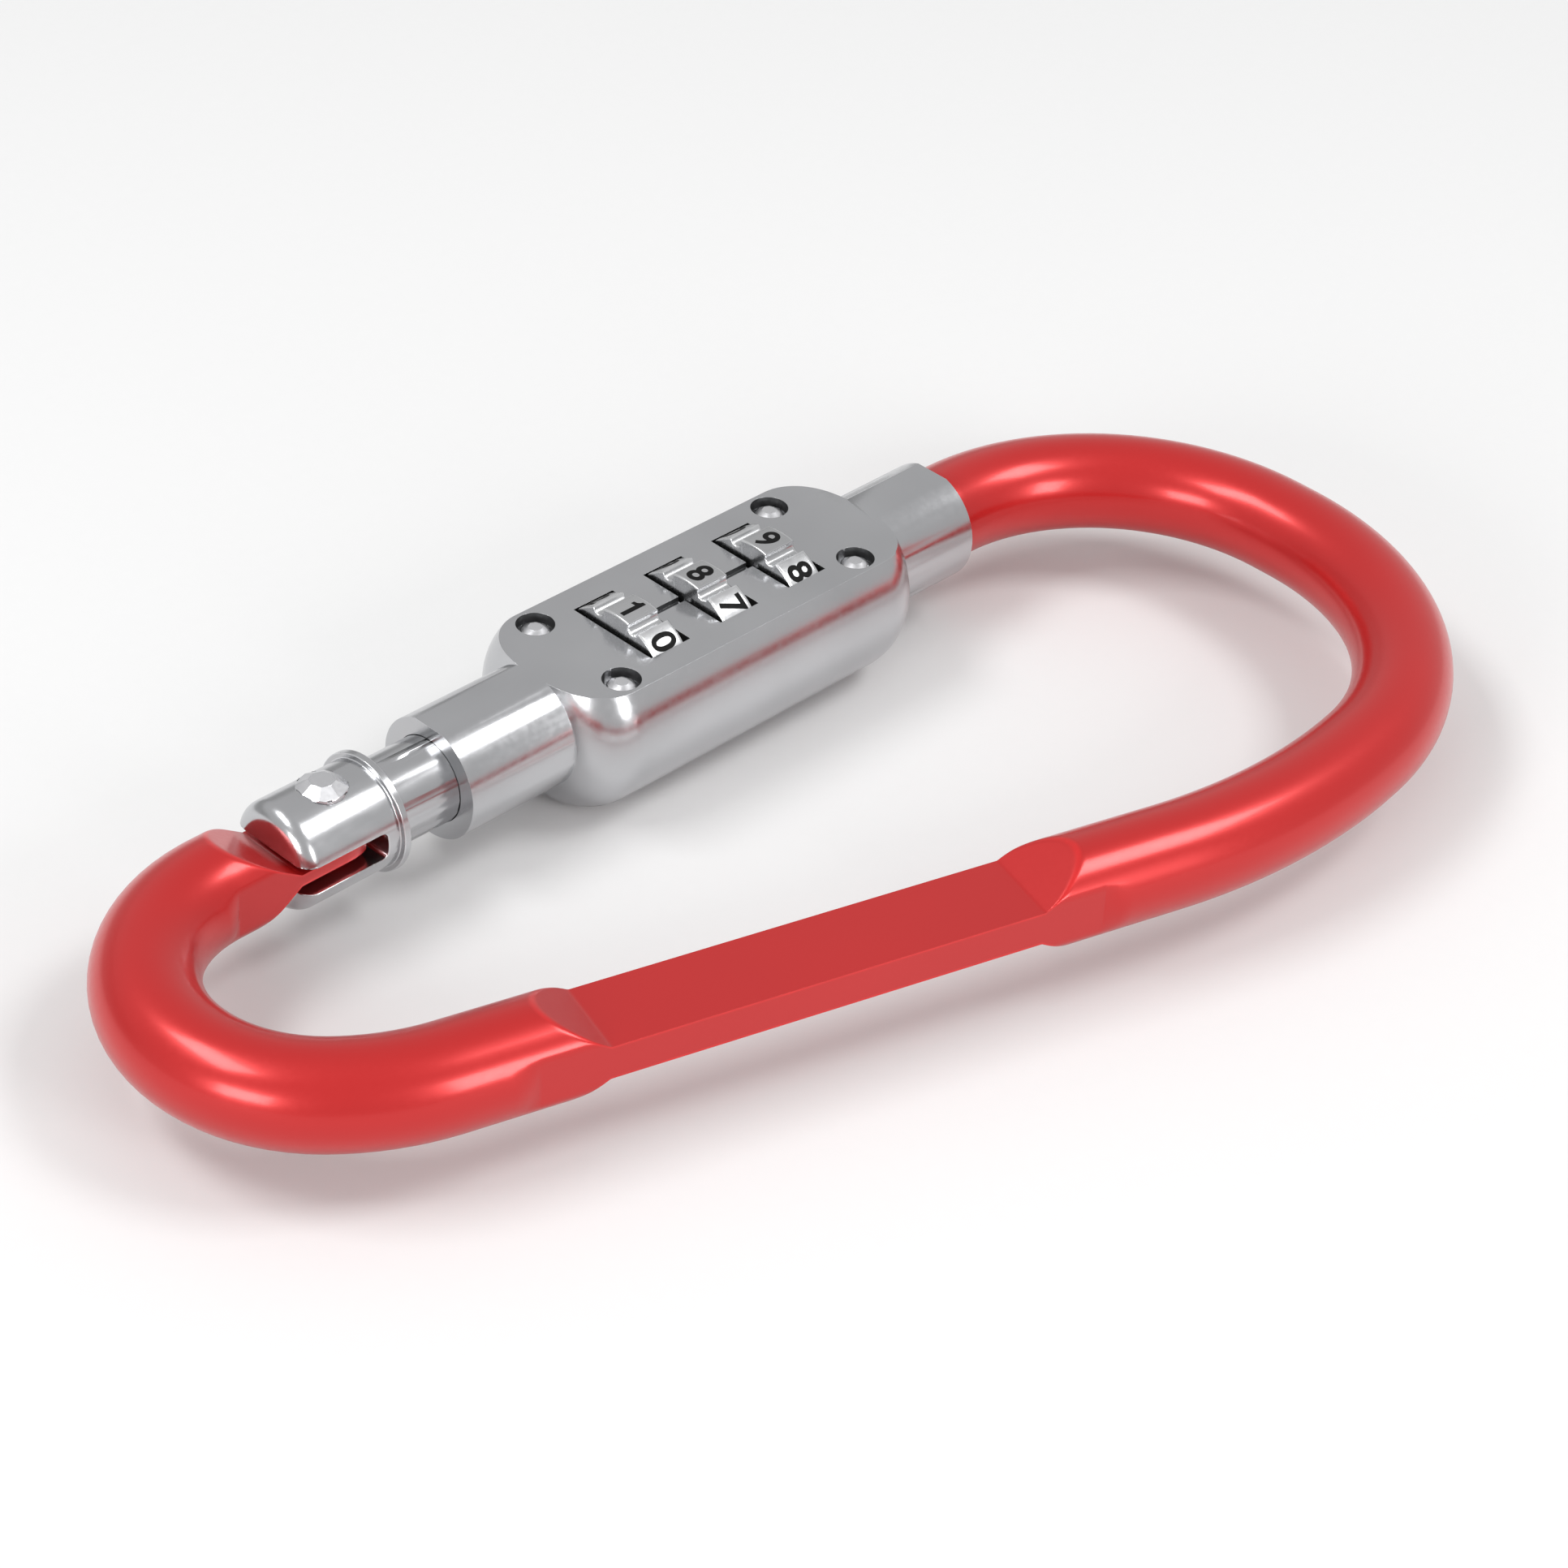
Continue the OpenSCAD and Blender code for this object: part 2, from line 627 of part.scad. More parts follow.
module dial_wheel_1() color([0.6, 0.605, 0.615]) placed() dial_wheel(1);
module dial_wheel_2() color([0.6, 0.605, 0.615]) placed() dial_wheel(2);
module dial_wheel_3() color([0.6, 0.605, 0.615]) placed() dial_wheel(3);
module code_sleeve_1() color([0.74, 0.66, 0.42]) placed() code_sleeve(1);
module code_sleeve_2() color([0.74, 0.66, 0.42]) placed() code_sleeve(2);
module code_sleeve_3() color([0.74, 0.66, 0.42]) placed() code_sleeve(3);
module detent_spring_1() color([0.6, 0.6, 0.62]) placed() detent_spring(1);
module detent_spring_2() color([0.6, 0.6, 0.62]) placed() detent_spring(2);
module detent_spring_3() color([0.6, 0.6, 0.62]) placed() detent_spring(3);

carabiner_frame();
gate_barrel();
hinge_rivet();
hinge_plunger();
hinge_spring();
lock_spindle();
spindle_pin();
stop_ring();
return_spring();
lock_housing();
bottom_cover();
cover_rivets();
end_bush();
nose_socket();
dial_wheel_1();
dial_wheel_2();
dial_wheel_3();
code_sleeve_1();
code_sleeve_2();
code_sleeve_3();
detent_spring_1();
detent_spring_2();
detent_spring_3();
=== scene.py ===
import json
import math

import bmesh
import bpy
import numpy as np
from mathutils import Matrix, Vector


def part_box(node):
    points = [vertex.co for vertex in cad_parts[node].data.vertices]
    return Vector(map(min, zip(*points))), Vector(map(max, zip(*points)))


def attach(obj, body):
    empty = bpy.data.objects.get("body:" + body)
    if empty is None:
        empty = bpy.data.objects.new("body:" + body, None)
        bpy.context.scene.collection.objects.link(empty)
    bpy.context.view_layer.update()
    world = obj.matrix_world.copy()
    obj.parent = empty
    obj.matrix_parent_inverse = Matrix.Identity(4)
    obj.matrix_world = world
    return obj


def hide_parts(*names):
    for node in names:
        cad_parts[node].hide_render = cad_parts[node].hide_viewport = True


# Three-dial combination-lock carabiner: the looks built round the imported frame.
# Lengths in the piece code are millimetres from the gate's own origin, where the hinge bend of the
# rod meets the gate axis: +X runs to the nose, +Y to the outer side and +Z up through the windows.

bl_info = {
    "name": "Combination lock carabiner",
    "version": (1, 0, 0),
    "blender": (4, 5, 0),
    "location": "View3D > Sidebar > Lock",
    "description": "Builds the finished surfaces of a three-dial lock carabiner on its packed frame",
    "category": "Add Mesh",
}

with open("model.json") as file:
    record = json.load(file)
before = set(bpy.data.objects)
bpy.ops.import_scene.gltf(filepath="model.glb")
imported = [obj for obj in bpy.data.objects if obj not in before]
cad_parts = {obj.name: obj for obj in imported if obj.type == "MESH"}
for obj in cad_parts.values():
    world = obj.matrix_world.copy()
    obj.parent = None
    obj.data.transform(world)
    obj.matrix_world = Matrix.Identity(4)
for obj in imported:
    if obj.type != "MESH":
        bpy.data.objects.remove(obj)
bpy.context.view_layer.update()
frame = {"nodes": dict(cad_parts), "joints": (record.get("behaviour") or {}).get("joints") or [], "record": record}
JOINTS = {joint["name"]: joint for joint in frame["joints"]}
TINTS = {entry["slot"]: entry["base_color"] for entry in frame["record"]["materials"]}

MM = 0.001
RIVET_X = 10.1
ORIGIN = np.array(JOINTS["gate_swing"]["pos_m"]) - np.array([RIVET_X * MM, 0.0, 0.0])

# Height of the housing's flat top, and the stretch of the gate its windows and recesses lie in.
TOP_Z = 4.75
BARREL_ENDS = (31.6, 66.0)

ROD_LOW, ROD_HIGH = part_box("carabiner_frame")
WHEEL_LOW, WHEEL_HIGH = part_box("dial_wheel_1")
ROD_DIAMETER = ROD_HIGH.z - ROD_LOW.z
WHEEL_DIAMETER = WHEEL_HIGH.z - WHEEL_LOW.z
WHEEL_WIDTH = WHEEL_HIGH.x - WHEEL_LOW.x

# Rod centreline from the tang's end round the loop to the nose tongue: (length, turn in degrees).
TANG_END = 12.3
NOSE_X = 75.42
TONGUE_X = 70.6
ARCS = ((12.86, 139.42), (20.01, 24.11), (50.87, 25.15), (23.66, 81.59), (19.64, 89.73))
SPINE = 58.36
JOIN = 1.6211
LAST_STRAIGHT = 77.4845 - TONGUE_X

FLAT_START, FLAT_LENGTH, FLAT_RAMP, FLAT_HALF = 10.65, 35.05, 4.2, 1.45
TANG_X, TANG_HALF, TANG_SLOPE, TANG_HALF_WIDTH = 5.35, 0.5, 33.7, 3.4
TANG_ROOT_HALF, TANG_EASE, TANG_REACH, FULL_SWING = 4.2, 1.6, 2.53, 20.0
TONGUE_R = 2.15

LANDS = 10
FLUTE_R, FLUTE_AT = 0.58, 6.25
WHEEL_BORE = 3.24
DIGIT_PROUD, DIGIT_THICK = 0.012, 0.06
TEXT_SIZE = 3.0
DIALS_AT_REST = (1, 8, 9)
ONE_OUTLINE = ((0.16, 0.0), (0.6, 0.0), (0.6, 2.35), (0.27, 2.35), (0.2, 2.14), (0.02, 1.98),
               (-0.3, 1.93), (-0.3, 1.62), (0.16, 1.62))

# Floor in metres: half its side, and where and how tightly it curves up.
FLOOR_HALF, SWEEP_LINE, SWEEP_RADIUS = 3.0, 2.2, 0.15

# Camera place from the gate's own origin, in millimetres.
CAMERA_PLACE = (-138.62, -181.45, 179.29)

# Soft boxes: name, azimuth from +X and elevation in degrees, width and height in metres.
BOX_DISTANCE = 0.7
SOFT_BOXES = (
    ("high_right_box", 315.0, 56.0, (0.25, 0.2)),
    ("high_left_box", 145.0, 57.0, (0.37, 0.17)),
    ("low_left_box", 190.0, 20.0, (0.27, 0.2)),
    ("low_front_box", 272.0, 22.0, (0.18, 0.28)),
)


# ---------------------------------------------------------------- mesh helpers

def grid_faces(rows, cols, wrap_rows=False, wrap_cols=False):
    """Quads that join each point of a rows x cols grid to the next row and column. A wrapped
    direction joins its last line back to its first."""
    i = np.arange(rows if wrap_rows else rows - 1)[:, None]
    j = np.arange(cols if wrap_cols else cols - 1)[None, :]
    down, across = (i + 1) % rows, (j + 1) % cols
    quads = (i * cols + j, i * cols + across, down * cols + across, down * cols + j)
    return np.stack(quads, -1).reshape(-1, 4)


def outward(points, faces):
    """The faces turned to point outwards: the signed volume is the sum over the faces of a
    corner dotted with the cross product of the two edges beside it, and it must be positive."""
    quads = np.array([f[:3] for f in faces])
    a, b, c = points[quads[:, 0]], points[quads[:, 1]], points[quads[:, 2]]
    middle = points.mean(0)
    volume = np.einsum("ij,ij->i", a - middle, np.cross(b - a, c - a)).sum()
    return [f[::-1] for f in faces] if volume < 0 else faces


def new_piece(name, points, faces, body, material, sharp=35.0):
    """A mesh object from points in gate millimetres, smooth apart from edges over sharp degrees."""
    mesh = bpy.data.meshes.new(name)
    mesh.from_pydata((points * MM + ORIGIN).tolist(), [], outward(points, faces))
    mesh.update()
    mesh.shade_smooth()
    mesh.set_sharp_from_angle(angle=math.radians(sharp))
    mesh.materials.append(material)
    piece = bpy.data.objects.new(name, mesh)
    bpy.context.scene.collection.objects.link(piece)
    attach(piece, body)
    return piece


def paint_points(piece, attribute, values):
    """Stores one number per point, which the finish reads as brighter edges: wear and a painted highlight."""
    layer = piece.data.attributes.new(attribute, "FLOAT", "POINT")
    layer.data.foreach_set("value", np.asarray(values, np.float32).ravel())


def soft_min(a, b, ease):
    """The smaller of two heights, with the corner where they cross rounded over a width ease:
    min(a, b) less the square of the overlap h = max(ease - |a - b|, 0) over four times ease."""
    overlap = np.maximum(ease - np.abs(a - b), 0.0)
    return np.minimum(a, b) - overlap ** 2 / (4.0 * ease)


def hollow_faces(mesh):
    """Marks the walls of the windows, recesses and bores between the barrel's two ends, which take the
    painted shade: the faces there that neither point away from the gate axis nor lie on the flat top."""
    count = len(mesh.polygons)
    middles, normals = np.empty(3 * count), np.empty(3 * count)
    mesh.polygons.foreach_get("center", middles)
    mesh.polygons.foreach_get("normal", normals)
    middles = (middles.reshape(-1, 3) - ORIGIN) / MM
    normals = normals.reshape(-1, 3)
    away = (middles * normals)[:, 1:].sum(1) / np.hypot(middles[:, 1], middles[:, 2])
    on_top = (normals[:, 2] > 0.99) & (middles[:, 2] > TOP_Z - 0.02)
    between = (middles[:, 0] > BARREL_ENDS[0]) & (middles[:, 0] < BARREL_ENDS[1])
    return between & (away < 0.6) & ~on_top


def machined_copy(node, name, body, material, edge_highlight_material, bevel, hollow_shade_material=None,
                  clamped=False):
    """A copy of a CAD node whose triangles are merged into whole faces, with its edges broken by
    a small bevel in a brighter finish, part wear and part painted highlight, standing for the node.
    A clamped bevel stays clear of the parts that turn inside the piece, and hollow walls may have a darker finish
    of painted shade."""
    mesh = frame["nodes"][node].data.copy()
    mesh.name = name
    shell = bmesh.new()
    shell.from_mesh(mesh)
    bmesh.ops.remove_doubles(shell, verts=shell.verts, dist=1e-7)
    bmesh.ops.dissolve_limit(
        shell, angle_limit=math.radians(0.4), verts=shell.verts, edges=shell.edges)
    shell.to_mesh(mesh)
    shell.free()
    mesh.materials.clear()
    mesh.materials.append(material)
    mesh.materials.append(edge_highlight_material)
    if hollow_shade_material:
        mesh.materials.append(hollow_shade_material)
        # The hollow walls get the third finish, a painted shade much darker than the housing metal.
        mesh.polygons.foreach_set("material_index", 2 * hollow_faces(mesh).astype(np.int32))
    mesh.shade_smooth()
    mesh.set_sharp_from_angle(angle=math.radians(35.0))
    piece = bpy.data.objects.new(name, mesh)
    bpy.context.scene.collection.objects.link(piece)
    edge = piece.modifiers.new("broken_edges", "BEVEL")
    edge.width = bevel * MM
    edge.segments = 2
    edge.limit_method = "ANGLE"
    edge.angle_limit = math.radians(32.0)
    edge.use_clamp_overlap = clamped
    edge.miter_outer = "MITER_ARC"
    edge.harden_normals = True
    # The bevel's faces take the second, brighter finish: wear and a painted highlight on the edges.
    edge.material = 1
    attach(piece, body)
    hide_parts(node)
    return piece


# ---------------------------------------------------------------- finishes

def start_finish(name):
    """A new node material: (material, nodes, links, its shader)."""
    material = bpy.data.materials.new(name)
    material.use_nodes = True
    nodes, links = material.node_tree.nodes, material.node_tree.links
    return material, nodes, links, nodes["Principled BSDF"]


def grain(nodes, links, scale, stretch=(1.0, 1.0, 1.0), detail=4.0):
    """Noise of the given scale per metre on Object coordinates, stretched along the axes."""
    where = nodes.new("ShaderNodeTexCoord")
    mapping = nodes.new("ShaderNodeMapping")
    mapping.inputs["Scale"].default_value = stretch
    noise = nodes.new("ShaderNodeTexNoise")
    noise.inputs["Scale"].default_value = scale
    noise.inputs["Detail"].default_value = detail
    links.new(where.outputs["Object"], mapping.inputs["Vector"])
    links.new(mapping.outputs["Vector"], noise.inputs["Vector"])
    return noise.outputs["Fac"]


def spread(nodes, links, value, low, high, start=0.3, end=0.7):
    """Maps a value from start..end onto low..high."""
    remap = nodes.new("ShaderNodeMapRange")
    remap.inputs["From Min"].default_value = start
    remap.inputs["From Max"].default_value = end
    remap.inputs["To Min"].default_value = low
    remap.inputs["To Max"].default_value = high
    links.new(value, remap.inputs["Value"])
    return remap.outputs["Result"]


def blend_colours(nodes, links, factor, first, second):
    """Mix of two colours; either may be a plain colour or another node's output."""
    mix = nodes.new("ShaderNodeMix")
    mix.data_type = "RGBA"
    links.new(factor, mix.inputs["Factor"])
    for socket, colour in ((mix.inputs["A"], first), (mix.inputs["B"], second)):
        if isinstance(colour, bpy.types.NodeSocket):
            links.new(colour, socket)
        else:
            socket.default_value = (*colour, 1.0)
    return mix.outputs["Result"]


def raise_bump(nodes, links, shader, heights, strength, depth):
    """Adds a fine relief of the given depth in metres to the shader's normal."""
    bump = nodes.new("ShaderNodeBump")
    bump.inputs["Strength"].default_value = strength
    bump.inputs["Distance"].default_value = depth
    links.new(heights, bump.inputs["Height"])
    links.new(bump.outputs["Normal"], shader.inputs["Normal"])


def worn_edges(nodes, links, attribute):
    """How far a point lies on a brightened edge, part wear and part painted highlight: the piece's own edge value
    broken up by coarse noise.
    """
    source = nodes.new("ShaderNodeAttribute")
    source.attribute_name = attribute
    edge = spread(nodes, links, source.outputs["Fac"], 0.0, 1.0, 0.25, 0.9)
    patches = spread(nodes, links, grain(nodes, links, 420.0), 0.35, 1.0)
    product = nodes.new("ShaderNodeMath")
    product.operation = "MULTIPLY"
    links.new(edge, product.inputs[0])
    links.new(patches, product.inputs[1])
    return product.outputs["Value"]


def tinted(colour, factor):
    """A colour made lighter or darker by a factor, kept within one."""
    return tuple(min(1.0, channel * factor) for channel in colour)


def metal_finish(name, colour, rough, rough_spread, scale, stretch=(1.0, 1.0, 1.0), metallic=1.0,
                 relief=0.0, edge_attribute="", edge_gain=1.25, coat=0.0, coat_rough=0.1, patchy=0.9):
    """A metal with patchy tint, roughness that varies with a directional grain, a fine relief
    and brighter edges, part wear and part painted highlight."""
    material, nodes, links, shader = start_finish(name)
    patches = spread(nodes, links, grain(nodes, links, 90.0, detail=2.0), 0.0, 1.0)
    tint = blend_colours(nodes, links, patches, tinted(colour, patchy), colour)
    # Edges named by the attribute are brightened: wear and a painted highlight.
    if edge_attribute:
        wear_and_highlight = worn_edges(nodes, links, edge_attribute)
        tint = blend_colours(nodes, links, wear_and_highlight, tint, tinted(colour, edge_gain))
    links.new(tint, shader.inputs["Base Color"])
    fine = grain(nodes, links, scale, stretch)
    links.new(
        spread(nodes, links, fine, rough - rough_spread, rough + rough_spread),
        shader.inputs["Roughness"])
    raise_bump(nodes, links, shader, fine, relief, 0.02 * MM)
    shader.inputs["Metallic"].default_value = metallic
    shader.inputs["Coat Weight"].default_value = coat
    shader.inputs["Coat Roughness"].default_value = coat_rough
    return material


def edge_finish(colour):
    """The brighter metal of broken edges: rubbed wear and a painted highlight."""
    return metal_finish("rubbed_edge_and_highlight", tinted(colour, 1.3), 0.24, 0.06, 2200.0, relief=0.02)


def ink_finish(name, colour):
    """Filled black marking: satin, slightly uneven in tone and height."""
    material, nodes, links, shader = start_finish(name)
    speckle = grain(nodes, links, 2600.0)
    tone = blend_colours(nodes, links, speckle, colour, tinted(colour, 1.9))
    links.new(tone, shader.inputs["Base Color"])
    links.new(spread(nodes, links, speckle, 0.42, 0.6), shader.inputs["Roughness"])
    shader.inputs["Specular IOR Level"].default_value = 0.12
    raise_bump(nodes, links, shader, speckle, 0.25, 0.01 * MM)
    return material


def paper_finish(name, colour):
    """Plain pale floor: matt, with the faintest tooth."""
    material, nodes, links, shader = start_finish(name)
    tooth = grain(nodes, links, 900.0)
    links.new(
        blend_colours(nodes, links, tooth, tinted(colour, 0.985), colour),
        shader.inputs["Base Color"])
    links.new(spread(nodes, links, tooth, 0.75, 0.9), shader.inputs["Roughness"])
    shader.inputs["Specular IOR Level"].default_value = 0.15
    return material


# ---------------------------------------------------------------- sizes and colours

class LockSizes(bpy.types.PropertyGroup):
    """Sizes of the surfaces that are worked out here."""
    rod_diameter: bpy.props.FloatProperty(
        name="Rod diameter", description="Thickness of the loop's rod",
        default=ROD_DIAMETER, unit="LENGTH")
    rod_edge: bpy.props.FloatProperty(
        name="Flat edge ease", description="Width of the eased edge round the milled flats",
        default=0.28 * MM, unit="LENGTH")
    wheel_diameter: bpy.props.FloatProperty(
        name="Wheel diameter", description="Diameter over the digit lands",
        default=WHEEL_DIAMETER, unit="LENGTH")
    wheel_edge: bpy.props.FloatProperty(
        name="Land edge bevel", description="Bevel at the two ends of each digit land",
        default=0.11 * MM, unit="LENGTH")
    digit_height: bpy.props.FloatProperty(
        name="Digit height", description="Height of a digit, measured along the gate",
        default=2.35 * MM, unit="LENGTH")
    digit_weight: bpy.props.FloatProperty(
        name="Digit weight", description="Share of the height by which the strokes are thickened",
        default=0.022)
    broken_edge: bpy.props.FloatProperty(
        name="Broken edge", description="Bevel of the turned and cast metal edges",
        default=0.08 * MM, unit="LENGTH")


class LockColours(bpy.types.PropertyGroup):
    """Colours of the finishes."""
    rod: bpy.props.FloatVectorProperty(
        name="Rod", description="Anodised colour of the loop", subtype="COLOR", size=3,
        min=0, max=1, default=(0.5, 0.012, 0.012))
    housing: bpy.props.FloatVectorProperty(
        name="Housing", description="Satin metal of housing and gate", subtype="COLOR", size=3,
        min=0, max=1, default=(0.57, 0.575, 0.59))
    wheel: bpy.props.FloatVectorProperty(
        name="Wheels", description="Satin metal of the dial wheels", subtype="COLOR", size=3,
        min=0, max=1, default=(0.6, 0.605, 0.615))
    brass: bpy.props.FloatVectorProperty(
        name="Sleeves", description="Turned brass of sleeves and bush", subtype="COLOR", size=3,
        min=0, max=1, default=TINTS["sleeve_brass"])
    steel: bpy.props.FloatVectorProperty(
        name="Inner steel", description="Turned steel inside the lock", subtype="COLOR", size=3,
        min=0, max=1, default=TINTS["inner_steel"])
    spring: bpy.props.FloatVectorProperty(
        name="Springs", description="Spring wire and leaf", subtype="COLOR", size=3,
        min=0, max=1, default=TINTS["spring_steel"])
    ink: bpy.props.FloatVectorProperty(
        name="Digits", description="Ink in the digits", subtype="COLOR", size=3,
        min=0, max=1, default=(0.003, 0.003, 0.003))
    floor: bpy.props.FloatVectorProperty(
        name="Floor", description="Pale floor", subtype="COLOR", size=3,
        min=0, max=1, default=(0.7, 0.7, 0.7))


class StudioSettings(bpy.types.PropertyGroup):
    """Light and camera."""
    lens: bpy.props.FloatProperty(
        name="Lens", description="Focal length for a 36 mm wide sensor, in mm", default=91.69)
    azimuth: bpy.props.FloatProperty(
        name="Azimuth", description="Camera direction round the object", subtype="ANGLE",
        default=math.radians(-47.56))
    elevation: bpy.props.FloatProperty(
        name="Elevation", description="Camera height above the horizon", subtype="ANGLE",
        default=math.radians(36.52))
    roll: bpy.props.FloatProperty(
        name="Roll", description="Camera turn about its own view line", subtype="ANGLE",
        default=math.radians(3.894))
    radiance: bpy.props.FloatProperty(
        name="Soft boxes", description="Brightness of the four soft boxes' faces, in W/m2/sr",
        default=10.0)
    ambient: bpy.props.FloatProperty(
        name="Ambient", description="Strength of the even light from all round", default=0.62)


# ---------------------------------------------------------------- rod

def rod_centreline(distance):
    """Positions and headings along the rod. The path is straight runs and left-hand arcs laid
    end to end: on an arc of radius r the heading grows by distance / r, and the position moves
    by r times the change in (sin heading, -cos heading)."""
    runs = [(TANG_END, 0.0)]
    runs += [(r * math.radians(a), 1.0 / r) for r, a in ARCS[:2]]
    runs += [(SPINE, 0.0)]
    runs += [(r * math.radians(a), 1.0 / r) for r, a in ARCS[2:4]]
    runs += [(JOIN, 0.0), (ARCS[4][0] * math.radians(ARCS[4][1]), 1.0 / ARCS[4][0])]
    runs += [(LAST_STRAIGHT, 0.0)]
    x, y, heading, start = TANG_END, 0.0, math.pi, 0.0
    px, py, ph = (np.zeros_like(distance) for _ in range(3))
    for length, curve in runs:
        here = distance >= start - 1e-9
        along = distance[here] - start
        turned = heading + curve * along
        if curve:
            px[here] = x + (np.sin(turned) - math.sin(heading)) / curve
            py[here] = y - (np.cos(turned) - math.cos(heading)) / curve
            x += (math.sin(heading + curve * length) - math.sin(heading)) / curve
            y -= (math.cos(heading + curve * length) - math.cos(heading)) / curve
        else:
            px[here] = x + along * math.cos(heading)
            py[here] = y + along * math.sin(heading)
            x += length * math.cos(heading)
            y += length * math.sin(heading)
        ph[here] = turned
        heading += curve * length
        start += length
    return px, py, ph, start


def spine_start():
    """Distance along the rod at which the straight spine begins."""
    return TANG_END + sum(r * math.radians(a) for r, a in ARCS[:2])


def flat_limit(distance):
    """Half height that the milling leaves: level over each flat, rising along a straight slope
    beyond its two ends."""
    rod_r = ROD_DIAMETER / MM / 2
    first = spine_start() + FLAT_START
    outside = np.maximum(first - distance, distance - first - FLAT_LENGTH)
    spine = FLAT_HALF + np.maximum(outside, 0.0) * (rod_r - FLAT_HALF) / FLAT_RAMP
    tang = TANG_HALF + np.maximum(distance - (TANG_END - TANG_X), 0.0) * math.tan(math.radians(TANG_SLOPE))
    return np.minimum(spine, tang)


def tang_half_width(distance):
    """Half width of the rod end in plan: the full rod, eased down to the tang, rounded about the
    rivet and then cut back along the two lines that clear the slot's end at full swing."""
    beyond = TANG_END - distance - RIVET_X
    blend = np.clip((beyond + RIVET_X - TANG_X) / TANG_EASE, 0.0, 1.0)
    width = TANG_ROOT_HALF - (TANG_ROOT_HALF - TANG_HALF_WIDTH) * blend * blend * (3 - 2 * blend)
    round_end = np.sqrt(np.maximum(TANG_HALF_WIDTH ** 2 - np.maximum(beyond, 0.0) ** 2, 0.01))
    swing = math.radians(FULL_SWING)
    cut = (TANG_REACH - beyond * math.cos(swing)) / math.sin(swing)
    return np.minimum(width, np.minimum(round_end, np.maximum(cut, 0.3)))


def rod_rings():
    """Distances of the rod's rings: even along the plain rod and close together over the tang
    and the slopes of the flats."""
    end = rod_centreline(np.zeros(1))[3]
    shoulder = end - (NOSE_X - TONGUE_X)
    first = spine_start() + FLAT_START
    last = first + FLAT_LENGTH
    spans = [
        np.arange(0.0, 1.2, 0.12), np.arange(1.2, 6.0, 0.8), np.arange(6.0, 13.0, 0.16),
        np.arange(13.0, first - 5.2, 1.05),
        np.arange(first - 5.2, first + 0.5, 0.16), np.arange(first + 0.5, last - 0.5, 1.4),
        np.arange(last - 0.5, last + 5.2, 0.16), np.arange(last + 5.2, shoulder - 0.4, 1.05),
    ]
    return np.concatenate(spans), shoulder, end


def build_rod(sizes, material):
    """The loop as a round section swept along the centreline. At angle b of the section the
    point is (r cos b, r sin b), with the height and the width each held under its limit."""
    rod_r = sizes.rod_diameter / MM / 2
    ease = sizes.rod_edge / MM
    plain, shoulder, end = rod_rings()
    nose = [(shoulder - 0.2, rod_r), (shoulder - 0.1, rod_r - 0.02), (shoulder - 0.03, rod_r - 0.07),
            (shoulder, rod_r - 0.16), (shoulder, rod_r - 0.6), (shoulder, TONGUE_R + 0.15),
            (shoulder + 0.08, TONGUE_R), (end - 0.55, TONGUE_R), (end - 0.4, TONGUE_R - 0.08),
            (end, TONGUE_R - 0.5)]
    along = np.concatenate([plain, [d for d, _ in nose]])
    radius = np.concatenate([np.full(len(plain), rod_r), [r for _, r in nose]])
    px, py, heading, _ = rod_centreline(along)
    sides = 160
    angle = np.linspace(0.0, 2 * np.pi, sides, endpoint=False)[None, :]
    across, up = radius[:, None] * np.cos(angle), radius[:, None] * np.sin(angle)
    width_limit = tang_half_width(along)[:, None] * np.ones_like(across)
    height_limit = flat_limit(along)[:, None] * np.ones_like(across)
    wide = np.sign(across) * np.where(
        height_limit < rod_r + 1, soft_min(np.abs(across), width_limit, 0.2), np.abs(across))
    tall = np.sign(up) * soft_min(np.abs(up), height_limit, ease)
    points = np.stack([
        px[:, None] + wide * np.sin(heading)[:, None],
        py[:, None] - wide * np.cos(heading)[:, None],
        tall], -1).reshape(-1, 3)
    rows = len(along)
    faces = grid_faces(rows, sides, wrap_cols=True).tolist()
    faces.append(list(range(sides))[::-1])
    faces.append(list(range((rows - 1) * sides, rows * sides)))
    rod = new_piece("rod_loop", points, faces, "frame", material, sharp=40.0)
    # Closeness to the eased edges of the flats, which the finish brightens as wear and a painted highlight.
    edge = np.exp(-((np.abs(up) - height_limit) / (0.7 * ease)) ** 2)
    paint_points(rod, "edge", edge)
    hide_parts("carabiner_frame")
    return rod


def build_tang_boss(material):
    """Raised disc of the tang about the rivet: a profile turned about the rivet axis."""
    profile = np.array([(1.06, -1.08), (1.95, -1.08), (2.1, -0.95), (2.1, 0.95), (1.95, 1.08), (1.06, 1.08)])
    turn = np.linspace(0.0, 2 * np.pi, 72, endpoint=False)
    points = np.stack([
        RIVET_X + profile[:, 0][:, None] * np.cos(turn)[None, :],
        profile[:, 0][:, None] * np.sin(turn)[None, :],
        profile[:, 1][:, None] * np.ones_like(turn)[None, :]], -1).reshape(-1, 3)
    faces = grid_faces(len(profile), len(turn), wrap_rows=True, wrap_cols=True).tolist()
    return new_piece("tang_boss", points, faces, "frame", material)


# ---------------------------------------------------------------- dial wheels and digits

def land_radius(turn, outer):
    """Outside radius of a wheel at an angle from a land's middle. A flute is a circle of radius
    f centred c from the axis: at angle d from its middle its wall lies at
    c cos d - sqrt(f^2 - (c sin d)^2), and the wheel is the smaller of that and the land."""
    step = 2 * np.pi / LANDS
    off = np.mod(turn, step) - step / 2
    side = np.minimum((FLUTE_AT * np.sin(off)) ** 2, FLUTE_R ** 2)
    wall = FLUTE_AT * np.cos(off) - np.sqrt(FLUTE_R ** 2 - side)
    clear_of_land = outer + 1.0
    wall = np.where(side >= FLUTE_R ** 2, clear_of_land, wall)
    return soft_min(np.full_like(turn, outer), wall, 0.1), off


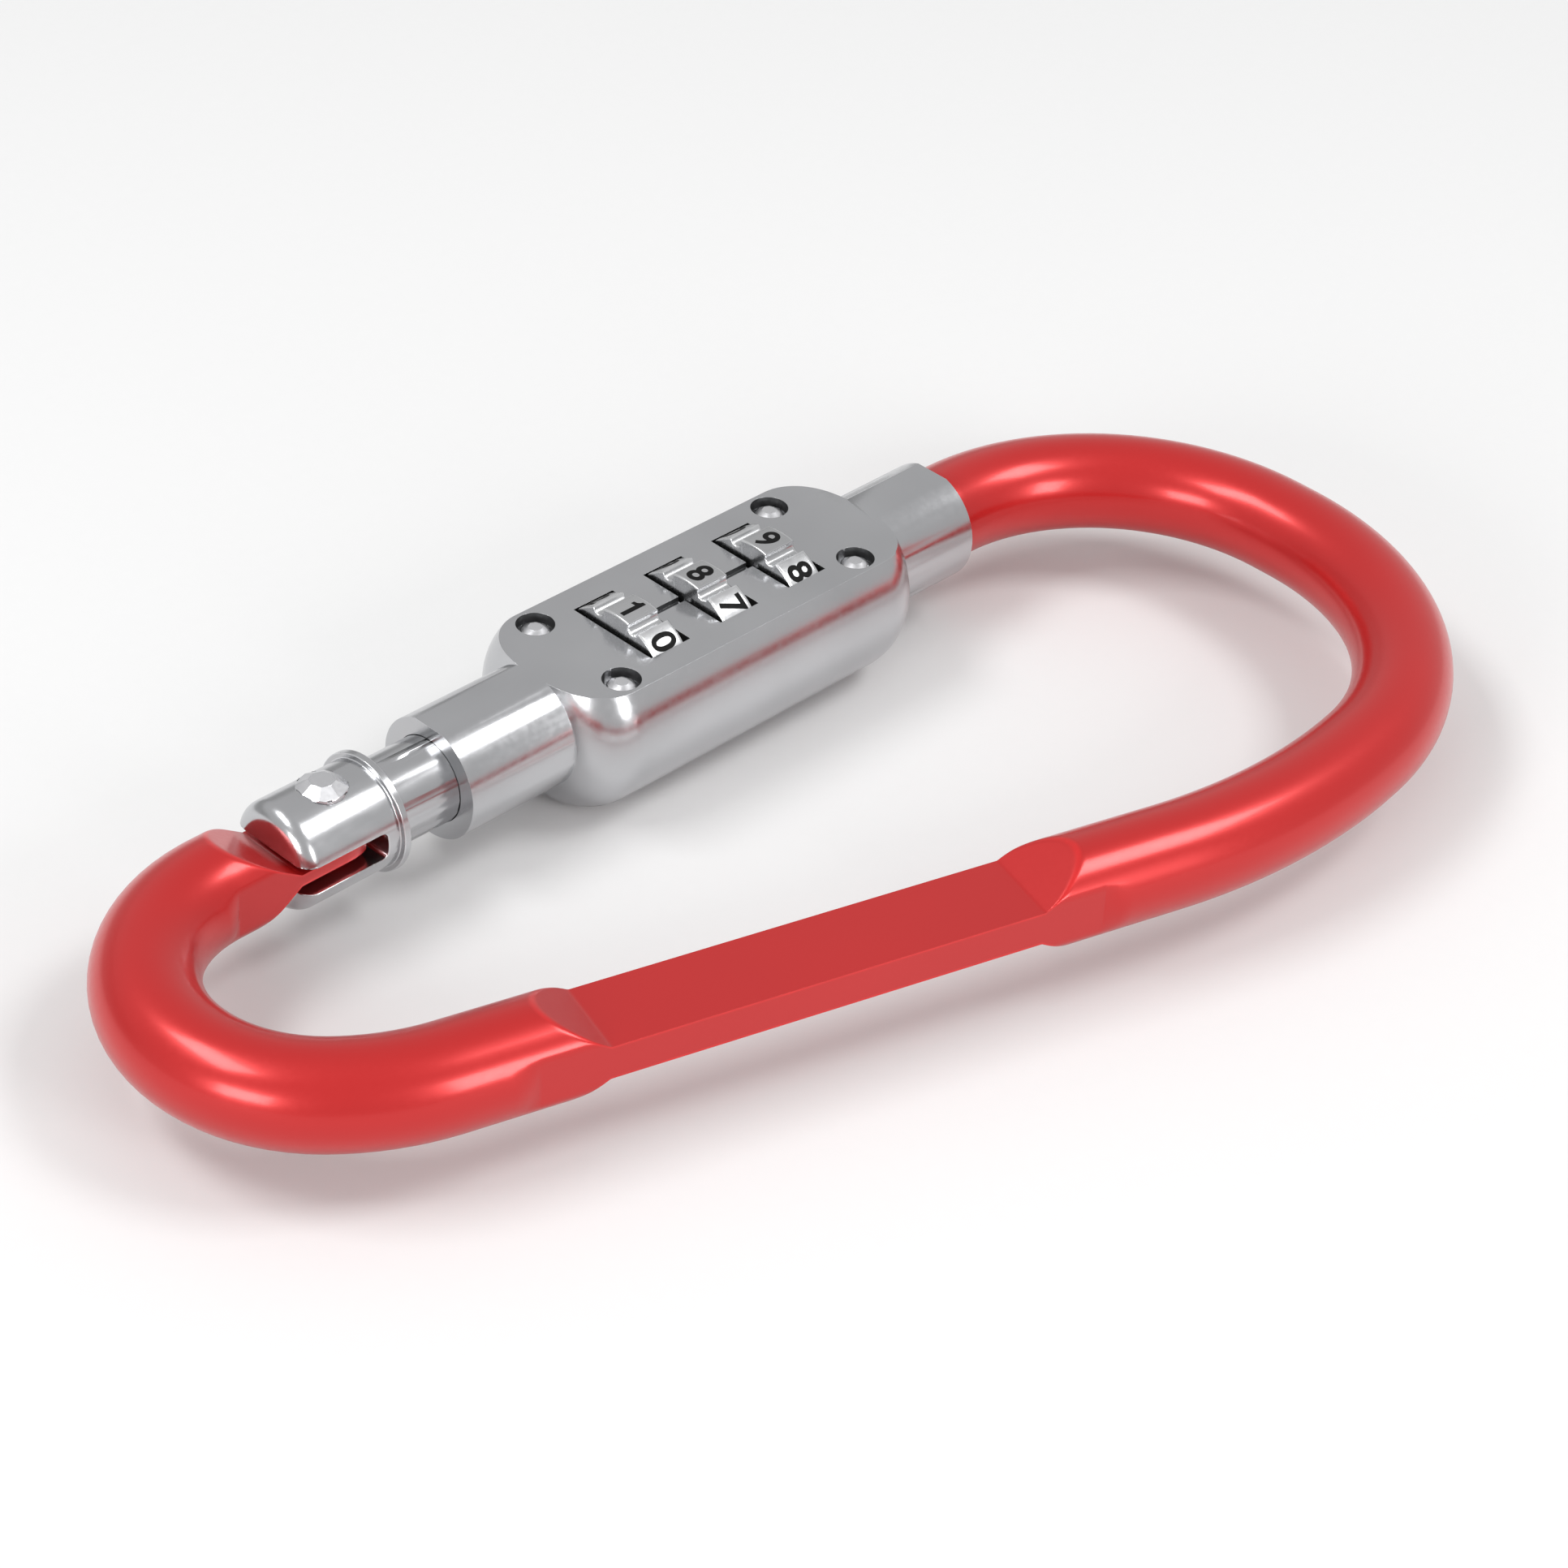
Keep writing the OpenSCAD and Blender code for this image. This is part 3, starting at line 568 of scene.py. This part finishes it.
def wheel_turns():
    """Angles round a wheel, close together over the flutes."""
    step = 2 * np.pi / LANDS
    half = math.asin(FLUTE_R / FLUTE_AT)
    flute = step / 2 + half * np.sin(np.linspace(-np.pi / 2, np.pi / 2, 21))
    edges = np.array([-0.012, -0.006, 0.006, 0.012])
    land = np.linspace(-(step / 2 - half - 0.02), step / 2 - half - 0.02, 11)
    rims = [step / 2 - half + edges[:2], step / 2 + half + edges[2:]]
    once = np.unique(np.concatenate([land % step, flute, *rims]).round(6))
    return np.concatenate([once + step * k for k in range(LANDS)])


def build_wheel(index, sizes, material):
    """A dial wheel: a ring whose profile (distance along the gate, share of the way from bore to
    land) is carried round the axis, with the land radius from land_radius."""
    joint = JOINTS[f"dial_{index}_spin"]
    centre = (joint["pos_m"][0] - ORIGIN[0]) / MM
    half = WHEEL_WIDTH / MM / 2
    outer = sizes.wheel_diameter / MM / 2
    bevel = sizes.wheel_edge / MM
    bore = WHEEL_BORE
    turn = wheel_turns()
    rim, off = land_radius(turn, outer)
    k = 1 - math.sqrt(0.5)
    profile = [(-half, 0.0, bore), (-half, 0.35, bore), (-half, 0.7, bore), (-half, 1.0, -bevel - 0.12),
               (-half, 1.0, -bevel), (-half + k * bevel, 1.0, -k * bevel), (-half + bevel, 1.0, 0.0),
               (-half + bevel + 0.15, 1.0, 0.0), (-half * 0.4, 1.0, 0.0)]
    profile += [(-x, share, shift) for x, share, shift in profile[::-1]]
    rows = []
    for x, share, shift in profile:
        base = bore * (1 - share) + (rim - bevel - 0.12) * share if share < 1 else rim + shift
        rows.append(np.stack([
            np.full_like(turn, centre + x), -base * np.sin(turn), base * np.cos(turn)], -1))
    points = np.stack(rows).reshape(-1, 3)
    faces = grid_faces(len(profile), len(turn), wrap_rows=True, wrap_cols=True).tolist()
    wheel = new_piece(
        f"dial_wheel_skin_{index}", points, faces, f"dial_{index}", material,
        sharp=50.0)
    # Closeness to the flute edges and land bevels, which the finish brightens as wear and a painted highlight.
    step_edge = np.exp(-((np.abs(off) - math.asin(FLUTE_R / FLUTE_AT)) / 0.016) ** 2)
    ends = np.zeros(len(profile))
    ends[4:7] = ends[-7:-4] = 1.0
    paint_points(wheel, "edge", np.maximum(step_edge[None, :], ends[:, None]))
    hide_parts(f"dial_wheel_{index}")
    return wheel


def digit_shape(value, sizes):
    """One digit's flat outline, filled: a flagged stem for one, the plain sans shapes for others."""
    shape = bmesh.new()
    if value == 1:
        shape.faces.new([shape.verts.new((x, y, 0.0)) for x, y in ONE_OUTLINE])
        return shape
    curve = bpy.data.curves.new("digit_outline", "FONT")
    curve.body = str(value)
    curve.size = TEXT_SIZE
    curve.offset = TEXT_SIZE * sizes.digit_weight
    curve.resolution_u = 8
    outline = bpy.data.objects.new("digit_outline", curve)
    bpy.context.scene.collection.objects.link(outline)
    bpy.context.view_layer.update()
    mesh = bpy.data.meshes.new_from_object(outline.evaluated_get(bpy.context.evaluated_depsgraph_get()))
    shape.from_mesh(mesh)
    bpy.data.objects.remove(outline)
    bpy.data.curves.remove(curve)
    bpy.data.meshes.remove(mesh)
    bmesh.ops.remove_doubles(shape, verts=shape.verts, dist=1e-5)
    return shape


def flat_digit(value, sizes):
    """One digit as flat faces about its own middle, in mm: (points, faces)."""
    shape = digit_shape(value, sizes)
    xs = [v.co.x for v in shape.verts]
    ys = [v.co.y for v in shape.verts]
    scale = sizes.digit_height / MM / (max(ys) - min(ys))
    shift = Vector((-(max(xs) + min(xs)) / 2, -(max(ys) + min(ys)) / 2, 0.0))
    bmesh.ops.translate(shape, verts=shape.verts, vec=shift)
    bmesh.ops.scale(shape, verts=shape.verts, vec=(scale, scale, 1.0))
    for cut in np.arange(-1.2, 1.21, 0.15):
        bmesh.ops.bisect_plane(
            shape, geom=shape.verts[:] + shape.edges[:] + shape.faces[:],
            plane_co=(cut, 0, 0), plane_no=(1, 0, 0), dist=1e-5)
    points = np.array([v.co for v in shape.verts])
    faces = [[v.index for v in f.verts] for f in shape.faces]
    shape.free()
    return points, faces


def build_digits(index, sizes, material):
    """The ten digits of a wheel. A flat digit is wrapped on the lands: its height runs along the
    gate, and its width w becomes the angle w / radius, measured from the land's middle."""
    joint = JOINTS[f"dial_{index}_spin"]
    centre = (joint["pos_m"][0] - ORIGIN[0]) / MM
    outer = sizes.wheel_diameter / MM / 2
    top, thick = outer + DIGIT_PROUD, DIGIT_THICK
    everything, faces, count = [], [], 0
    for value in range(LANDS):
        flat, digit_faces = flat_digit(value, sizes)
        land = (DIALS_AT_REST[index - 1] - value) * 2 * math.pi / LANDS
        turn = land + flat[:, 0] / outer
        for radius, order in ((top, 1), (top - thick, -1)):
            everything.append(np.stack([
                centre + flat[:, 1], -radius * np.sin(turn), radius * np.cos(turn)], -1))
            faces += [[v + count for v in f][::order] for f in digit_faces]
            count += len(flat)
        rim = count - 2 * len(flat)
        used = {}
        for f in digit_faces:
            for a, b in zip(f, f[1:] + f[:1]):
                used[(a, b)] = used.get((a, b), 0) + 1
        for a, b in used:
            if (b, a) not in used:
                faces.append([rim + b, rim + a, rim + len(flat) + a, rim + len(flat) + b])
    return new_piece(
        f"dial_digits_{index}", np.concatenate(everything), faces, f"dial_{index}",
        material, sharp=30.0)


# ---------------------------------------------------------------- operators

class LOCK_OT_rod(bpy.types.Operator):
    """Build the anodised loop of rod with its tang, flats and nose"""
    bl_idname = "lock.rod"
    bl_label = "Rod loop"

    def execute(self, context):
        scene = context.scene
        red = metal_finish(
            "rod_anodised", scene.lock_colours.rod, 0.3, 0.02, 2600.0, metallic=0.4,
            relief=0.03, edge_attribute="edge", edge_gain=1.35, patchy=0.97, coat=0.35, coat_rough=0.15)
        build_rod(scene.lock_sizes, red)
        build_tang_boss(red)
        return {"FINISHED"}


class LOCK_OT_gate(bpy.types.Operator):
    """Build the gate barrel and its rivet"""
    bl_idname = "lock.gate"
    bl_label = "Gate and hinge"

    def execute(self, context):
        scene = context.scene
        colours, edge = scene.lock_colours, scene.lock_sizes.broken_edge / MM
        satin = metal_finish(
            "gate_satin", colours.housing, 0.21, 0.03, 1500.0, stretch=(0.35, 1.0, 1.0), relief=0.02)
        steel = metal_finish("rivet_turned", TINTS["rivet_metal"], 0.34, 0.05, 3200.0, relief=0.03)
        # Brighter finish for the broken edges: wear and a painted highlight.
        edge_highlight = edge_finish(colours.housing)
        machined_copy("gate_barrel", "gate_barrel_skin", "gate", satin, edge_highlight, edge)
        machined_copy("hinge_rivet", "hinge_rivet_skin", "gate", steel, edge_highlight, edge * 0.6)
        return {"FINISHED"}


class LOCK_OT_housing(bpy.types.Operator):
    """Build the cast housing, its belly cover and the four cover rivets"""
    bl_idname = "lock.housing"
    bl_label = "Housing"

    def execute(self, context):
        scene = context.scene
        colours, edge = scene.lock_colours, scene.lock_sizes.broken_edge / MM
        cast = metal_finish("housing_satin", colours.housing, 0.22, 0.03, 1700.0, relief=0.02)
        turned = metal_finish("cover_rivet_turned", TINTS["rivet_metal"], 0.34, 0.05, 3000.0, relief=0.03)
        # Brighter finish for the broken edges: wear and a painted highlight.
        edge_highlight = edge_finish(colours.housing)
        # Painted shade for the walls of windows, recesses and bores: the housing metal at a sixth of its
        # brightness.
        painted_shade = metal_finish(
            "painted_shade_hollow_walls", tinted(colours.housing, 0.16), 0.5, 0.06, 1700.0, relief=0.05)
        machined_copy(
            "lock_housing", "housing_skin", "lock_body", cast, edge_highlight, edge, painted_shade,
            clamped=True)
        machined_copy("bottom_cover", "belly_cover_skin", "lock_body", cast, edge_highlight, edge)
        machined_copy(
            "cover_rivets", "cover_rivet_skins", "lock_body", turned, edge_highlight,
            edge * 0.5)
        return {"FINISHED"}


class LOCK_OT_dials(bpy.types.Operator):
    """Build the three dial wheels and their digits"""
    bl_idname = "lock.dials"
    bl_label = "Dials"

    def execute(self, context):
        scene = context.scene
        sizes, colours = scene.lock_sizes, scene.lock_colours
        satin = metal_finish(
            "wheel_satin", colours.wheel, 0.25, 0.04, 3000.0, stretch=(0.3, 1.0, 1.0),
            relief=0.02, edge_attribute="edge", edge_gain=1.3)
        ink = ink_finish("digit_ink", colours.ink)
        for index in (1, 2, 3):
            build_wheel(index, sizes, satin)
            build_digits(index, sizes, ink)
        return {"FINISHED"}


class LOCK_OT_inner_parts(bpy.types.Operator):
    """Finish the sleeves, spindle, pins and springs, whose shapes are kept as they are"""
    bl_idname = "lock.inner_parts"
    bl_label = "Inner parts"

    def execute(self, context):
        colours = context.scene.lock_colours
        turned = (3.0, 0.4, 0.4)
        finishes = {
            "sleeve_brass": metal_finish(
                "sleeve_brass", colours.brass, 0.3, 0.06, 2400.0, stretch=turned, relief=0.1),
            "inner_steel": metal_finish(
                "inner_turned", colours.steel, 0.34, 0.07, 2400.0, stretch=turned, relief=0.1),
            "spring_steel": metal_finish(
                "spring_wire", colours.spring, 0.27, 0.06, 3500.0, relief=0.1),
        }
        slots = {entry["node"]: entry["material_slot"] for entry in frame["record"]["subparts"]}
        for name, node in frame["nodes"].items():
            if slots[name] in finishes:
                node.data.materials.clear()
                node.data.materials.append(finishes[slots[name]])
        return {"FINISHED"}


class LOCK_OT_stage(bpy.types.Operator):
    """Set the floor, the lights and the camera"""
    bl_idname = "lock.stage"
    bl_label = "Stage"

    def execute(self, context):
        scene = context.scene
        studio, colours = scene.lock_studio, scene.lock_colours
        build_floor(colours)
        build_lights(scene, studio)
        build_camera(scene, studio)
        scene.view_settings.view_transform = "Standard"
        return {"FINISHED"}


def build_floor(colours):
    """A floor that is level under the object and curves up far behind it: its height is the
    square of the distance beyond a line, over four times the sweep radius."""
    x = np.linspace(-FLOOR_HALF, FLOOR_HALF, 25)
    y = np.linspace(-FLOOR_HALF, FLOOR_HALF, 49)
    gx, gy = np.meshgrid(x, y, indexing="ij")
    rise = np.maximum(gy - SWEEP_LINE, 0.0) ** 2 / (4.0 * SWEEP_RADIUS)
    points = np.stack([gx, gy, rise], -1).reshape(-1, 3)
    mesh = bpy.data.meshes.new("studio_floor")
    mesh.from_pydata(points.tolist(), [], grid_faces(len(x), len(y)).tolist())
    mesh.update()
    mesh.shade_smooth()
    mesh.materials.append(paper_finish("floor_paper", colours.floor))
    floor = bpy.data.objects.new("studio_floor", mesh)
    bpy.context.scene.collection.objects.link(floor)


def soft_box(name, azimuth, elevation, size, radiance):
    """A rectangular soft box BOX_DISTANCE from the origin in a direction given in degrees, facing
    the origin. Its power is its radiance times its area times pi."""
    a, e = math.radians(azimuth), math.radians(elevation)
    outward_line = Vector((math.cos(a) * math.cos(e), math.sin(a) * math.cos(e), math.sin(e)))
    light = bpy.data.lights.new(name, "AREA")
    light.shape = "RECTANGLE"
    light.size, light.size_y = size
    light.energy = radiance * size[0] * size[1] * math.pi
    lamp = bpy.data.objects.new(name, light)
    bpy.context.scene.collection.objects.link(lamp)
    turn = (-outward_line).to_track_quat("-Z", "Y").to_matrix().to_4x4()
    lamp.matrix_world = Matrix.Translation(outward_line * BOX_DISTANCE) @ turn


def build_lights(scene, studio):
    """Four soft boxes, two high and two low, in an even light from all round."""
    for name, azimuth, elevation, size in SOFT_BOXES:
        soft_box(name, azimuth, elevation, size, studio.radiance)
    world = bpy.data.worlds.new("studio_world")
    world.use_nodes = True
    sky = world.node_tree.nodes["Background"]
    sky.inputs["Color"].default_value = (1.0, 1.0, 1.0, 1.0)
    sky.inputs["Strength"].default_value = studio.ambient
    scene.world = world


def build_camera(scene, studio):
    """Camera at the studio's angle. Its back vector points from the object to the camera, and its
    right and up vectors are turned about it by the roll."""
    a, e, roll = studio.azimuth, studio.elevation, studio.roll
    back = Vector((math.sin(a) * math.cos(e), -math.cos(a) * math.cos(e), math.sin(e)))
    level = Vector((math.cos(a), math.sin(a), 0.0))
    upright = back.cross(level)
    right = math.cos(roll) * level + math.sin(roll) * upright
    up = math.cos(roll) * upright - math.sin(roll) * level
    camera = bpy.data.cameras.new("studio_camera")
    camera.lens = studio.lens
    camera.sensor_width = 36.0
    camera.clip_start = 0.01
    holder = bpy.data.objects.new("studio_camera", camera)
    scene.collection.objects.link(holder)
    turn = Matrix((right, up, back)).transposed().to_4x4()
    position = Vector(ORIGIN) + Vector(CAMERA_PLACE) * MM
    holder.matrix_world = Matrix.Translation(position) @ turn
    scene.camera = holder


class LOCK_PT_panel(bpy.types.Panel):
    """Lists the steps that build the lock"""
    bl_idname = "LOCK_PT_panel"
    bl_label = "Combination lock carabiner"
    bl_space_type = "VIEW_3D"
    bl_region_type = "UI"
    bl_category = "Lock"

    def draw(self, context):
        layout = self.layout
        for operator in OPERATORS:
            layout.operator(operator.bl_idname)
        for group in ("lock_sizes", "lock_colours", "lock_studio"):
            settings = getattr(context.scene, group)
            box = layout.box()
            for name in settings.__annotations__:
                box.prop(settings, name)


OPERATORS = (LOCK_OT_rod, LOCK_OT_gate, LOCK_OT_housing, LOCK_OT_dials, LOCK_OT_inner_parts, LOCK_OT_stage)
CLASSES = (LockSizes, LockColours, StudioSettings, *OPERATORS, LOCK_PT_panel)


def register():
    for cls in CLASSES:
        bpy.utils.register_class(cls)
    bpy.types.Scene.lock_sizes = bpy.props.PointerProperty(type=LockSizes)
    bpy.types.Scene.lock_colours = bpy.props.PointerProperty(type=LockColours)
    bpy.types.Scene.lock_studio = bpy.props.PointerProperty(type=StudioSettings)


def unregister():
    for group in ("lock_sizes", "lock_colours", "lock_studio"):
        delattr(bpy.types.Scene, group)
    for cls in reversed(CLASSES):
        bpy.utils.unregister_class(cls)


def main():
    register()
    for step in ("rod", "gate", "housing", "dials", "inner_parts", "stage"):
        getattr(bpy.ops.lock, step)()
    bpy.context.view_layer.update()


if __name__ == "__main__":
    main()
